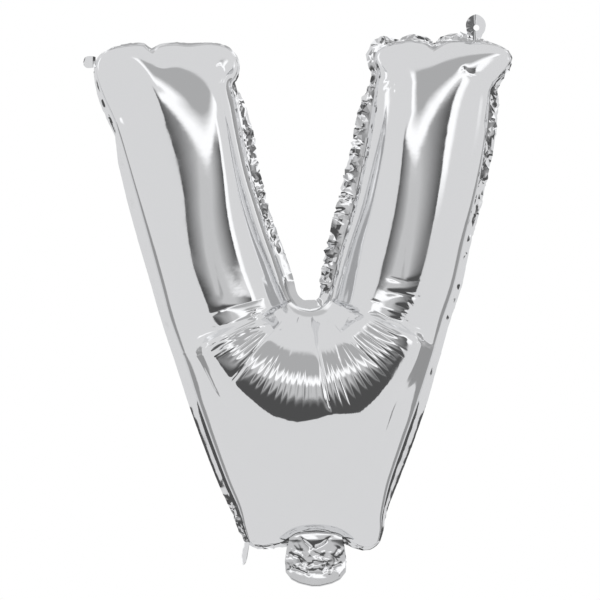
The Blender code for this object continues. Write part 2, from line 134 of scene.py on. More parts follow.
def half_sheet(top, inner, outer, rows):
    """One arm's grid in the letter's plane, from its top row down and round to the middle line."""
    top, inner, outer = (smooth_curve(c) for c in (top, inner, outer))
    index = np.cumsum([0] + [r[2] for r in rows[:-1]])
    inner_at = [place_on(inner, r[0]) for r in rows]
    outer_at = [place_on(outer, r[1]) for r in rows]
    inner_at[0] = outer_at[0] = 0
    inner_at[-1], outer_at[-1] = lengths(inner)[-1], lengths(outer)[-1]
    count = index[-1] + 1
    row = np.arange(count)
    ends = []
    for places in (inner_at, outer_at):
        s = np.interp(row, index, places)
        before, after = 2 * s[0] - s[ROW_BLUR:0:-1], 2 * s[-1] - s[-2:-ROW_BLUR - 2:-1]
        window = 2 * ROW_BLUR + 1
        ends.append(np.convolve(np.concatenate([before, s, after]), np.ones(window) / window, "valid"))
    # rows crowd together towards the top, where the film turns over to the weld
    start = index[1]
    crowd = 1 - np.cos(np.linspace(EDGE_ANGLE, math.pi / 2, start))
    even = (np.arange(1, start + 1) / start) ** TOP_SPREAD
    for s in ends:
        s[1:start + 1] = s[start] * (TOP_CROWDING * crowd / crowd[-1] + (1 - TOP_CROWDING) * even)
    a, b = at(inner, ends[0]), at(outer, ends[1])
    phi = np.concatenate([[0], np.linspace(EDGE_ANGLE, math.pi - EDGE_ANGLE, COLUMNS - 1), [math.pi]])
    t = (1 - np.cos(phi)) / 2
    grid = a[:, None] * (1 - t)[None, :, None] + b[:, None] * t[None, :, None]
    edge = at(top, t * lengths(top)[-1])
    bow = edge - (a[0] * (1 - t)[:, None] + b[0] * t[:, None])
    fade = np.clip(1 - ends[0] / TOP_BLEND, 0, 1) ** 2
    return grid + bow[None] * fade[:, None, None]


def quads(rows, columns, start=0, flip=False):
    """The faces of a grid of points."""
    r, c = np.meshgrid(np.arange(rows - 1), np.arange(columns - 1), indexing="ij")
    a = start + (r * columns + c).ravel()
    face = np.stack([a, a + columns, a + columns + 1, a + 1], 1)
    return face[:, ::-1] if flip else face


def flat_letter():
    """The whole letter's grid: its places in the plane, its faces and the points on the weld."""
    right = half_sheet(RIGHT_TOP, RIGHT_INNER, RIGHT_OUTER + RIGHT_BASE[1:], RIGHT_ROWS)
    left = half_sheet(LEFT_TOP, LEFT_INNER, LEFT_OUTER + LEFT_BASE[1:], LEFT_ROWS)
    rows, columns = right.shape[:2]
    shared = (left.shape[0] - 1) * columns
    points = np.vstack([right.reshape(-1, 2), left[:-1].reshape(-1, 2)])
    faces = [quads(rows, columns)]
    other = quads(left.shape[0], columns, start=rows * columns, flip=True)
    last = other >= rows * columns + shared
    other[last] = other[last] - (rows * columns + shared) + (rows - 1) * columns
    faces.append(other)
    weld = np.zeros(len(points), bool)
    for base, count in ((0, rows), (rows * columns, left.shape[0] - 1)):
        weld[base:base + columns] = True
        weld[base + np.arange(count) * columns] = True
        weld[base + np.arange(count) * columns + columns - 1] = True
    return points, np.vstack(faces), weld


def blown_height(points, faces, weld):
    """Height of a soap film that is blown up over the letter, which gives round tubes and full bodies."""
    tri = np.vstack([faces[:, [0, 1, 2]], faces[:, [0, 2, 3]]])
    p = points
    mass = np.zeros(len(p))
    pairs, weights = [], []
    for k in range(3):
        i, j, o = tri[:, k], tri[:, (k + 1) % 3], tri[:, (k + 2) % 3]
        a, b = p[i] - p[o], p[j] - p[o]
        cross = np.abs(a[:, 0] * b[:, 1] - a[:, 1] * b[:, 0]) + 1e-9
        pairs.append(np.stack([i, j], 1))
        weights.append(0.5 * (a * b).sum(1) / cross)
        np.add.at(mass, i, cross / 6)
    pairs, weights = np.vstack(pairs), np.concatenate(weights)
    i, j = pairs.T
    size = len(p)
    diagonal = np.bincount(i, weights, size) + np.bincount(j, weights, size)
    free = ~weld

    def apply(u):
        out = diagonal * u - np.bincount(i, weights * u[j], size) - np.bincount(j, weights * u[i], size)
        return out * free

    u = np.zeros(size)
    rest = mass * free
    scale = np.where(diagonal > 0, 1 / np.maximum(diagonal, 1e-9), 0)
    z = rest * scale
    way = z.copy()
    rz = rest @ z
    start = rz
    for step in range(SOLVER_STEPS):
        h = apply(way)
        k = rz / (way @ h)
        u += k * way
        rest -= k * h
        z = rest * scale
        new = rest @ z
        if new < SOLVER_END * start:
            break
        way = z + way * (new / rz)
        rz = new
    return np.maximum(u, 0)


def line_place(points, line):
    """Each point's signed distance from a broken line, and how far along the line it is, from 0 to 1."""
    line = np.array(line, float)
    best = np.full(len(points), 1e9)
    place = np.zeros(len(points))
    total = lengths(line)
    for k in range(len(line) - 1):
        a, d = line[k], line[k + 1] - line[k]
        length = np.linalg.norm(d)
        t = np.clip((points - a) @ d / length ** 2, 0, 1)
        off = points - a - t[:, None] * d
        dist = np.linalg.norm(off, axis=1)
        side = np.sign(d[0] * off[:, 1] - d[1] * off[:, 0])
        near = dist < np.abs(best)
        best = np.where(near, dist * np.where(side == 0, 1, side), best)
        place = np.where(near, (total[k] + t * length) / total[-1], place)
    return best, place


def normals_of(points, faces):
    """The outward direction at each point of a surface."""
    a, b, c, d = (points[faces[:, k]] for k in range(4))
    n = np.cross(c - a, d - b)
    out = np.zeros_like(points)
    for k in range(4):
        for axis in range(3):
            out[:, axis] += np.bincount(faces[:, k], n[:, axis], len(points))
    return out / (np.linalg.norm(out, axis=1)[:, None] + 1e-12)


# Where the blown film is flatter than a round tube: towards the ends of the arms, and in the body.
LEFT_ARM_THINNING = 0.23
RIGHT_ARM_THINNING = 0.17
ARM_THINNING_FROM = 5
ARM_THINNING_OVER = 145
BODY_THINNING = 0.20
BODY_THINNING_FROM = -22
BODY_THINNING_OVER = 90
BODY_MIDDLE_DELAY = 22
BODY_MIDDLE_WIDTH = 55

NOTCH = np.array((0.7, 6.4))

# The fan of film below the notch: how far its rim is from NOTCH by direction, in degrees from straight down,
# and how high it stands by the share of the way to its rim.
FAN_RIM = ((-70, 76), (-57.6, 77), (-40.3, 79), (-27.4, 83.6), (-15.9, 89.5), (-5.8, 90.8), (4.6, 87.1),
           (9.5, 84.5), (13.9, 87.3), (21.4, 90.2), (34.1, 83.7), (60.4, 76.5), (72, 75))
FAN_HEIGHT = ((0.0, 0.0), (0.15, 0.0), (0.33, -2.2), (0.45, -1.0), (0.56, 0.7), (0.71, 2.6),
              (0.83, 4.2), (0.94, 5.5), (1.0, 6.0), (1.05, 5.0), (1.12, 2.8), (1.2, 0.9), (1.3, 0.0),
              (1.4, 0.0))
FAN_SPAN = (-60.0, 63.0)
FAN_FADE = 9.0
FAN_SIDE_GAIN = 1.0
FAN_SIDE_LIMIT = 80

# The arms aren't even: the crown of each one lies to one side, by height in the letter, and its flank along
# the notch sinks towards the arm's end. Each arm's middle line is given by its X at two heights.
LEFT_CROWN = ((-28, 0), (0, 0), (28, 0), (56, 4), (84, 11), (112, 16), (140, 19), (168, 19))
RIGHT_CROWN = ((-28, 0), (0, 3), (28, 3), (56, 1), (84, -3), (112, -8), (140, -11), (168, -12))
CROWN_HEIGHT = 41
LEFT_MIDDLE = ((-10, -54), (170, -98))
RIGHT_MIDDLE = ((-10, 54), (170, 94))
ARM_HALF_WIDTH = 42
FLANK_SINK = 8.0
FLANK_SINK_FROM = 20
FLANK_SINK_OVER = 130
FLANK_START = -0.1
FLANK_POWER = 1.5

# Lines of the film's folds, in millimetres, as X and Z, with how deep each one is and how far its sides
# reach. The first two are the creases under the arms.
FOLDS = (
    (((-13, -1), (-62.3, -28), (-86, -38)), 2.6, 10.0, 24.0),
    (((12.6, 0), (44.8, -11.2), (71.4, -23.8), (87, -30)), 2.6, 24.0, 7.0),
    (((-14.7, -8), (-33, -30), (-52, -58)), 1.2, 1.3),
    (((1.4, -9.1), (8, -44), (12.6, -68.6), (15.4, -78)), 1.5, 1.5),
    (((-6, -9), (-11, -26), (-14, -40)), 0.35, 1.0),
    (((12.6, -11.2), (30, -30), (46.2, -46.2)), 0.8, 1.2),
    (((10, -9), (17, -30), (22, -46)), 0.35, 1.0),
    (((-62.3, -7), (-30.1, 2.1)), 0.5, 2.0),
    (((48.3, 4.9), (75.6, 2.8)), 0.5, 2.0),
    (((-69.3, 40.6), (-65, 20), (-60.9, 0.7)), 0.35, 1.5),
    (((66.5, 45.5), (64, 28), (61.6, 11.2)), 0.35, 1.5),
    (((-113.4, 167), (-94.5, 164.5), (-82.6, 165.9), (-71.4, 161), (-66, 160)), 0.25, 1.5),
    (((47, 155), (51, 159), (58, 158), (65, 153), (67, 148)), 0.5, 1.6),
    (((-110.6, 178), (-109.9, 170), (-109, 162)), 1.0, 2.2),
    (((87.5, 180), (87.9, 168)), 1.0, 2.2),
    (((-137.2, 127.4), (-126, 129.5)), 1.6, 2.5),
    (((133, 150), (125, 154), (117, 157), (110, 162)), 0.9, 2.0),
    (((129, 147), (126.5, 136), (123.5, 120)), 0.9, 0.9),
    (((-71, 163), (-64, 165.5), (-60, 160)), 0.6, 1.0),
    (((-71, 157), (-65, 159), (-59, 155)), 0.5, 0.9),
    (((-70, 151), (-64, 153), (-59, 150)), 0.4, 0.9),
    (((50, 152), (56, 154), (63, 151)), 0.5, 0.9),
    (((50, 147), (57, 149), (64, 146)), 0.4, 0.9),
    (((-135, 131), (-128, 133), (-124, 129)), 0.6, 1.0),
    (((50, 16), (62, 12), (78, 14)), 0.4, 1.2),
    (((47, 7), (60, 5), (80, -1)), 0.45, 1.3),
    (((56, -3), (68, -6), (84, -12)), 0.4, 1.0),
    (((62, -9), (72, -14), (82, -15)), 0.35, 0.9),
    (((-84, -6), (-72, -10), (-58, -6)), 0.4, 1.2),
    (((-82, -15), (-70, -16), (-60, -21)), 0.4, 1.1),
    (((-78, -22), (-70, -25), (-62, -23)), 0.35, 0.9),
    (((-134, 127), (-127, 125), (-122, 127)), 0.6, 1.0),
)
FOLD_FADE = 0.1
FOLD_START = 0.15

# Two long dents in the flanks of the body, deepest in the middle of their length.
DENTS = (((-75.6, -38.5), (-68, -60), (-58.1, -77)), ((63, -63.7), (57.5, -86), (49, -112)))
DENT_DEPTH = 1.7
DENT_WIDTH = 2.8

# The outer lobe of the left arm's end lies lower, beyond a line that runs down from the pinch in its edge:
# the line's X by Z.
LOBE_LINE = ((118, -108), (133, -114), (150, -118), (175, -119))
LOBE_DROP = 6.0
LOBE_WIDTH = 24
LOBE_END = (118, 140)

# The fine pleats of the fan: their mean width and the span they fill, in degrees, then how much the width
# varies, where the pleats begin and finish as shares of the way to the rim, and how deep they are.
PLEAT_STEP = 3.55
PLEAT_SPAN = (-62.0, 66.0)
PLEAT_VARIATION = (0.7, 1.3)
PLEAT_BEGIN = (0.46, 0.62)
PLEAT_FINISH = (0.88, 0.95)
PLEAT_DEPTH = (0.22, 0.46)
PLEAT_GROW = 0.2
PLEAT_CLOSE = 0.05
PLEAT_MEAN = 0.6

# The short strokes along and across each crease: how many, and how their places, sizes and tilts vary.
STROKES = 26
STROKE_PLACE = (0.25, 1.0)
STROKE_OFFSET = (1.0, 4.5)
STROKE_LENGTH = (0.03, 0.09)
STROKE_DEPTH = (0.15, 0.5)
STROKE_TILT = (-25, 25)
STROKE_REACH = 0.7


def eased(share):
    """A share from 0 to 1 with a soft start and a soft end."""
    return share * share * (3 - 2 * share)


def film_relief(points, share, seed):
    """What stands above or below the smooth blown film of one sheet, in millimetres."""
    draw = np.random.default_rng(seed)
    relief = np.zeros(len(points))
    for line, deep, left, *right in FOLDS:
        dist, place = line_place(points, line)
        fade = np.clip(place / FOLD_FADE, FOLD_START, 1) * np.clip((1 - place) / FOLD_FADE, 0, 1)
        reach = np.where(dist > 0, left, right[0] if right else left)
        relief -= deep * np.exp(-np.abs(dist) / reach) * fade
    x, z = points.T
    beyond = np.clip((np.interp(z, *np.array(LOBE_LINE).T) - x) / LOBE_WIDTH, 0, 1)
    upper = np.clip((z - LOBE_END[0]) / (LOBE_END[1] - LOBE_END[0]), 0, 1)
    relief -= LOBE_DROP * eased(beyond) * eased(upper) * share
    for line in DENTS:
        dist, place = line_place(points, line)
        relief -= DENT_DEPTH * np.exp(-(dist / DENT_WIDTH) ** 2) * np.sin(math.pi * place)
    relief += fan(points) + flank_sink(points) * share
    return relief + pleats(points, draw) + strokes(points, draw)


def from_notch(points):
    """Each point's distance from NOTCH and its direction, in degrees from straight down."""
    off = points - NOTCH
    return np.linalg.norm(off, axis=1), np.degrees(np.arctan2(off[:, 0], -off[:, 1]))


def fan(points):
    """The rounded fan of film below the notch, which turns over at its rim towards the body."""
    radius, angle = from_notch(points)
    rim = np.interp(angle, *np.array(FAN_RIM).T)
    place, height = smooth_curve(FAN_HEIGHT).T
    begin = np.clip((angle - FAN_SPAN[0]) / FAN_FADE + 1, 0, 1)
    finish = np.clip((FAN_SPAN[1] - angle) / FAN_FADE + 1, 0, 1)
    sideways = np.sin(np.radians(np.clip(angle, -FAN_SIDE_LIMIT, FAN_SIDE_LIMIT))) ** 2
    return np.interp(radius / rim, place, height) * (1 + FAN_SIDE_GAIN * sideways) * eased(begin * finish)


def flank_sink(points):
    """How much the flank of each arm that faces the notch sinks towards the arm's end."""
    x, z = points.T
    left, right = (np.interp(z, *np.array(line).T) for line in (LEFT_MIDDLE, RIGHT_MIDDLE))
    inward = np.where(x < 0, x - left, right - x) / ARM_HALF_WIDTH
    across = eased(np.clip((inward - FLANK_START) / (1 - FLANK_START), 0, 1))
    return -FLANK_SINK * across * np.clip((z - FLANK_SINK_FROM) / FLANK_SINK_OVER, 0, 1) ** FLANK_POWER


def crown_shift(points):
    """How far the crown of each arm lies to the right of where even film would have it."""
    left, right = (np.interp(points[:, 1], *smooth_curve(run).T) for run in (LEFT_CROWN, RIGHT_CROWN))
    return np.where(points[:, 0] < 0, left, right)


def pleats(points, draw):
    """Fine folds that fan out below the notch. Each one starts and ends at its own distance from it."""
    radius, angle = from_notch(points)
    rim = np.interp(angle, *np.array(FAN_RIM).T)
    place = radius / rim
    edges = [PLEAT_SPAN[0]]
    while edges[-1] < PLEAT_SPAN[1]:
        edges.append(edges[-1] + PLEAT_STEP * draw.uniform(*PLEAT_VARIATION))
    edges = np.array(edges)
    begin = draw.uniform(*PLEAT_BEGIN, len(edges))
    finish = draw.uniform(*PLEAT_FINISH, len(edges))
    deep = draw.uniform(*PLEAT_DEPTH, len(edges))
    k = np.clip(np.searchsorted(edges, angle) - 1, 0, len(edges) - 2)
    within = (angle - edges[k]) / (edges[k + 1] - edges[k])
    inside = (angle > edges[0]) & (angle < edges[-1])
    grow = np.clip((place - begin[k]) / PLEAT_GROW, 0, 1) * np.clip((finish[k] - place) / PLEAT_CLOSE, 0, 1)
    return np.where(inside, deep[k] * (np.sin(math.pi * within) - PLEAT_MEAN) * grow, 0)


def strokes(points, draw):
    """Short folds that lie along and across the two creases under the arms."""
    out = np.zeros(len(points))
    for crease in FOLDS[:2]:
        dist, place = line_place(points, crease[0])
        for k in range(STROKES):
            at_place = draw.uniform(*STROKE_PLACE)
            at_dist = draw.normal(*STROKE_OFFSET)
            length = draw.uniform(*STROKE_LENGTH)
            deep = draw.uniform(*STROKE_DEPTH) * draw.choice((-1, 1))
            tilt = draw.uniform(*STROKE_TILT)
            across = dist - at_dist - tilt * (place - at_place)
            out += deep * np.exp(-(across / STROKE_REACH) ** 2 - ((place - at_place) / length) ** 2)
    return out


def make_mesh(name, points, faces):
    """A smooth-shaded piece from points in millimetres and faces."""
    mesh = bpy.data.meshes.new(name)
    mesh.from_pydata((np.asarray(points) * MM).tolist(), [], [list(f) for f in np.asarray(faces).tolist()])
    mesh.validate()
    mesh.polygons.foreach_set("use_smooth", [True] * len(mesh.polygons))
    piece = bpy.data.objects.new(name, mesh)
    bpy.context.scene.collection.objects.link(piece)
    return piece


NOISE_DETAIL = 3
NOISE_MIDDLE = (0.3, 0.7)
BUMP_STRENGTH = 0.1


def grain(tree, scale, low, high):
    """A fine noise over the surface, as it is and spread from low to high."""
    place = tree.nodes.new("ShaderNodeTexCoord")
    noise = tree.nodes.new("ShaderNodeTexNoise")
    noise.inputs["Scale"].default_value = scale
    noise.inputs["Detail"].default_value = NOISE_DETAIL
    tree.links.new(place.outputs["Object"], noise.inputs["Vector"])
    spread = tree.nodes.new("ShaderNodeMapRange")
    spread.inputs["From Min"].default_value = NOISE_MIDDLE[0]
    spread.inputs["From Max"].default_value = NOISE_MIDDLE[1]
    spread.inputs["To Min"].default_value = low
    spread.inputs["To Max"].default_value = high
    tree.links.new(noise.outputs["Fac"], spread.inputs["Value"])
    return noise.outputs["Fac"], spread.outputs[0]


def film_material(name, colour, metallic, rough, bump, scale):
    """A film whose roughness varies a little over its surface, with a very fine waviness."""
    material = bpy.data.materials.new(name)
    material.use_nodes = True
    tree = material.node_tree
    shader = tree.nodes["Principled BSDF"]
    shader.inputs["Base Color"].default_value = colour
    shader.inputs["Metallic"].default_value = metallic
    waves, roughness = grain(tree, scale, *rough)
    tree.links.new(roughness, shader.inputs["Roughness"])
    relief = tree.nodes.new("ShaderNodeBump")
    relief.inputs["Strength"].default_value = BUMP_STRENGTH
    relief.inputs["Distance"].default_value = bump * MM
    tree.links.new(waves, relief.inputs["Height"])
    tree.links.new(relief.outputs[0], shader.inputs["Normal"])
    return material


def math_node(tree, operation, a, b=None):
    """A Math node of a and b, which are numbers or other nodes' outputs."""
    n = tree.nodes.new("ShaderNodeMath")
    n.operation = operation
    for k, v in enumerate((a, b)):
        if v is None:
            continue
        if isinstance(v, (int, float)):
            n.inputs[k].default_value = v
        else:
            tree.links.new(v, n.inputs[k])
    return n.outputs[0]


def product(tree, a, b):
    """The product of a and b."""
    return math_node(tree, "MULTIPLY", a, b)


def linear(value):
    """A brightness in the picture, from 0 to 1, as light."""
    return value / 12.92 if value <= 0.04045 else ((value + 0.055) / 1.055) ** 2.4


# The share of the light that the foil gives back, and how much bluer than grey the studio is.
FOIL_TONE = 0.86
COOL_TINT = 1.005


def light_ramp(tree, factor, low, high, stops):
    """The light by factor, from low to high: stops are pairs of a factor and how bright the foil looks."""
    spread = tree.nodes.new("ShaderNodeMapRange")
    spread.inputs["From Min"].default_value = low
    spread.inputs["From Max"].default_value = high
    tree.links.new(factor, spread.inputs["Value"])
    n = tree.nodes.new("ShaderNodeValToRGB")
    elements = n.color_ramp.elements
    while len(elements) > 1:
        elements.remove(elements[-1])
    for k, (place, value) in enumerate(stops):
        share = (place - low) / (high - low)
        element = elements[0] if k == 0 else elements.new(share)
        element.position = share
        v = linear(value) / FOIL_TONE
        element.color = (v, v, v * COOL_TINT, 1)
    tree.links.new(spread.outputs[0], n.inputs[0])
    return n.outputs[0]


def smooth_mask(tree, value, low, high):
    """0 where value is on low's side, 1 on high's side, with a soft change between them."""
    n = tree.nodes.new("ShaderNodeMapRange")
    n.interpolation_type = "SMOOTHSTEP"
    n.inputs["From Min"].default_value = low
    n.inputs["From Max"].default_value = high
    tree.links.new(value, n.inputs["Value"])
    return n.outputs[0]


def mix_light(tree, factor, a, b):
    """The light a where factor is 0 and b where it is 1."""
    n = tree.nodes.new("ShaderNodeMix")
    n.data_type = "RGBA"
    tree.links.new(factor, n.inputs["Factor"])
    tree.links.new(a, n.inputs["A"])
    tree.links.new(b, n.inputs["B"])
    return n.outputs["Result"]


# The plain parts of the studio that the foil mirrors, and how bright each one looks, from 0 to 1: pale walls
# and floor, a dark screen on the viewer's side with a hazy middle, a grey ceiling panel, and white lights.
WALL = 0.83
SCREEN = 0.30
HAZE = 0.75
CEILING = 0.66
LIGHT = 1.0

# The studio's layout is in degrees. Turn goes to the viewer's right round the letter, and rise up from level.
# Yaw is the angle to the right of the letter's middle plane, and pitch goes up and over from the viewer.
# A pair such as SCREEN_LOWER holds the two ends of a soft edge.
SCREEN_BY_TURN = ((-45.5, WALL), (-44.5, SCREEN), (-18, HAZE), (8, HAZE), (43, SCREEN), (44, WALL))
SCREEN_BY_PITCH = ((-29, WALL), (-27, SCREEN), (-8, SCREEN), (10, HAZE), (20, WALL))
SCREEN_LOWER = (-4, 2)
SCREEN_UPPER = (24, 18)
SCREEN_SIDES = (43.6, 45.0)
SCREEN_OFFSET = 0.6
# The left side of the screen lies farther in where it is higher.
SLIDE = 8.0
SLIDE_RISE = (-5, 8)
SLIDE_TURN = (0, -20)
# Each upright strip light: its turn and half its width.
STRIPS = ((-100, 4), (46, 5), (100, 4))
STRIP_FADE = 4
STRIP_LOWER = (-2, 8)
STRIP_UPPER = (55, 30)
# The oval ceiling panel with its bright rim, which leans down to the right and is narrower on its left side
# where it is high. Places in it are shares of the way from its middle to its edge.
PANEL_MIDDLE = 60.0
PANEL_HALF_WIDTH = 46.0
PANEL_HALF_HEIGHT = 43.0
PANEL_LEAN = -0.14
PANEL_NARROWING = 19.0
NARROW_PITCH = (22, 30)
NARROW_YAW = (0, -12)
PANEL = ((0.78, CEILING), (0.96, LIGHT))
PANEL_EDGE = (1.13, 1.05)
PANEL_TOP = (68, 61)
# Above the panel the plain wall goes on.
ABOVE = (61, 70)
ABOVE_EDGE = (2.5, 1.6)
# Where the room behind the letter begins, as the cosine from the viewer's side, and how much of it shows.
REAR_LIMITS = (-0.60, -0.72)
REAR_SHARE = 0.65


def studio_light(tree, split, back):
    """The light from each direction, where back is how far the direction points towards the screen."""
    x, z = split.outputs["X"], split.outputs["Z"]
    turn = math_node(tree, "DEGREES", math_node(tree, "ARCTAN2", x, back))
    rise = math_node(tree, "DEGREES", math_node(tree, "ARCSINE", z))
    yaw = math_node(tree, "DEGREES", math_node(tree, "ARCSINE", x))
    pitch = math_node(tree, "DEGREES", math_node(tree, "ARCTAN2", z, back))
    walls = light_ramp(tree, turn, -180, 180, ((-180, WALL), (180, WALL)))

    slide = product(tree, smooth_mask(tree, rise, *SLIDE_RISE), SLIDE)
    slide = product(tree, slide, smooth_mask(tree, turn, *SLIDE_TURN))
    shifted = math_node(tree, "SUBTRACT", turn, slide)
    by_turn = light_ramp(tree, shifted, -60, 60, SCREEN_BY_TURN)
    by_pitch = light_ramp(tree, pitch, -90, 90, SCREEN_BY_PITCH)
    level = product(tree, smooth_mask(tree, rise, *SCREEN_LOWER), smooth_mask(tree, rise, *SCREEN_UPPER))
    ahead = mix_light(tree, level, by_pitch, by_turn)

    stops = []
    for centre, half in STRIPS:
        stops += [(centre - half - STRIP_FADE, WALL), (centre - half, LIGHT)]
        stops += [(centre + half, LIGHT), (centre + half + STRIP_FADE, WALL)]
    strips = light_ramp(tree, turn, -180, 180, stops)
    level = product(tree, smooth_mask(tree, rise, *STRIP_LOWER), smooth_mask(tree, rise, *STRIP_UPPER))
    beside = mix_light(tree, level, walls, strips)
    centred = math_node(tree, "ABSOLUTE", math_node(tree, "ADD", shifted, SCREEN_OFFSET))
    picture = mix_light(tree, smooth_mask(tree, centred, *SCREEN_SIDES), ahead, beside)

    narrow = product(tree, smooth_mask(tree, pitch, *NARROW_PITCH), smooth_mask(tree, yaw, *NARROW_YAW))
    width = math_node(tree, "SUBTRACT", PANEL_HALF_WIDTH, product(tree, narrow, PANEL_NARROWING))
    across = math_node(tree, "POWER", math_node(tree, "DIVIDE", yaw, width), 2.0)
    lean = product(tree, math_node(tree, "MAXIMUM", yaw, 0.0), PANEL_LEAN)
    up = math_node(tree, "SUBTRACT", math_node(tree, "ADD", pitch, lean), PANEL_MIDDLE)
    up = math_node(tree, "POWER", math_node(tree, "DIVIDE", up, PANEL_HALF_HEIGHT), 2.0)
    ring = math_node(tree, "SQRT", math_node(tree, "ADD", across, up))
    panel = light_ramp(tree, ring, 0, 2, PANEL)
    shows = product(tree, smooth_mask(tree, ring, *PANEL_EDGE), smooth_mask(tree, pitch, *PANEL_TOP))
    picture = mix_light(tree, shows, picture, panel)
    shows = product(tree, smooth_mask(tree, pitch, *ABOVE), smooth_mask(tree, ring, *ABOVE_EDGE))
    return mix_light(tree, shows, picture, walls)


def studio():
    """The studio that the foil mirrors, before and behind the letter. The camera itself sees white."""
    world = bpy.data.worlds.new("studio")
    bpy.context.scene.world = world
    world.use_nodes = True
    tree = world.node_tree
    way = tree.nodes.new("ShaderNodeTexCoord").outputs["Generated"]
    split = tree.nodes.new("ShaderNodeSeparateXYZ")
    tree.links.new(way, split.inputs[0])
    back = math_node(tree, "MULTIPLY", split.outputs["Y"], -1.0)
    before = studio_light(tree, split, back)
    behind = studio_light(tree, split, split.outputs["Y"])
    rear = math_node(tree, "MULTIPLY", smooth_mask(tree, back, *REAR_LIMITS), REAR_SHARE)
    picture = mix_light(tree, rear, before, behind)
    background = tree.nodes["Background"]
    white = tree.nodes.new("ShaderNodeRGB")
    white.outputs[0].default_value = (1, 1, 1, 1)
    seen = tree.nodes.new("ShaderNodeLightPath").outputs["Is Camera Ray"]
    tree.links.new(mix_light(tree, seen, picture, white.outputs[0]), background.inputs["Color"])


# The floor and the camera, in metres, apart from the floor's tones and the sensor's width in millimetres.
# PICTURE_WIDTH is what the camera takes in at the letter.
FLOOR_SIZE = 1.8
FLOOR_HEIGHT = -0.30
FLOOR_GREY = 0.86
FLOOR_ROUGHNESS = 0.8
FLOOR_GLOW = 0.25
SENSOR = 36
CAMERA_DISTANCE = 3.0
CAMERA_X = -0.0063
PICTURE_WIDTH = 0.42


def stage_and_camera():
    """The pale floor, which the foil doesn't mirror, and the camera straight in front of the letter."""
    bpy.ops.mesh.primitive_plane_add(size=FLOOR_SIZE, location=(0, 0, FLOOR_HEIGHT))
    floor = bpy.context.object
    floor.name = "floor"
    material = bpy.data.materials.new("pale_floor")
    material.use_nodes = True
    shader = material.node_tree.nodes["Principled BSDF"]
    shader.inputs["Base Color"].default_value = (FLOOR_GREY, FLOOR_GREY, FLOOR_GREY, 1)
    shader.inputs["Roughness"].default_value = FLOOR_ROUGHNESS
    shader.inputs["Emission Color"].default_value = (1, 1, 1, 1)
    shader.inputs["Emission Strength"].default_value = FLOOR_GLOW
    floor.data.materials.append(material)
    floor.visible_glossy = False
    lens = bpy.data.cameras.new("camera")
    camera = bpy.data.objects.new("camera", lens)
    bpy.context.scene.collection.objects.link(camera)
    lens.sensor_width = SENSOR
    lens.lens = SENSOR * CAMERA_DISTANCE / PICTURE_WIDTH
    camera.location = (CAMERA_X, -CAMERA_DISTANCE, 0)
    camera.rotation_euler = (math.pi / 2, 0, 0)
    bpy.context.scene.camera = camera
    bpy.context.scene.view_settings.view_transform = "Standard"


def depth_scale(points):
    """The share of the blown height that the film keeps: less towards the arms' ends and in the body."""
    z = points[:, 1]
    thinning = np.where(points[:, 0] < 0, LEFT_ARM_THINNING, RIGHT_ARM_THINNING)
    arm = 1 - thinning * np.clip((z - ARM_THINNING_FROM) / ARM_THINNING_OVER, 0, None) ** 2
    start = BODY_THINNING_FROM - BODY_MIDDLE_DELAY * np.exp(-(points[:, 0] / BODY_MIDDLE_WIDTH) ** 2)
    return arm * (1 - BODY_THINNING * eased(np.clip((start - z) / BODY_THINNING_OVER, 0, 1)))


# Each sheet: its piece, its node, which way it faces along Y, and the seed of its random draws.
SHEETS = (("film_front", "envelope_front", -1, 11), ("film_back", "envelope_back", 1, 12))


def build_film(foil):
    """The front and the back sheet: the blown film with its folds."""
    flat, faces, weld = flat_letter()
    blown = np.sqrt(2 * blown_height(flat, faces, weld))
    share = np.clip(blown / CROWN_HEIGHT, 0, 1)
    height = blown * depth_scale(flat)
    across = flat[:, 0] + crown_shift(flat) * share ** 2
    for name, node, side, seed in SHEETS:
        film = np.stack([across, side * (FILM_LIFT + height), flat[:, 1]], 1)
        facing = faces if side < 0 else faces[:, ::-1]
        outward = normals_of(film, facing)
        if outward[np.argmax(height), 1] * side < 0:
            facing = facing[:, ::-1]
            outward = -outward
        film = film + outward * (film_relief(flat, share, seed) * ~weld)[:, None]
        piece = make_mesh(name, film, facing)
        piece.data.materials.append(foil)
        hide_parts(node)
        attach(piece, "letter")


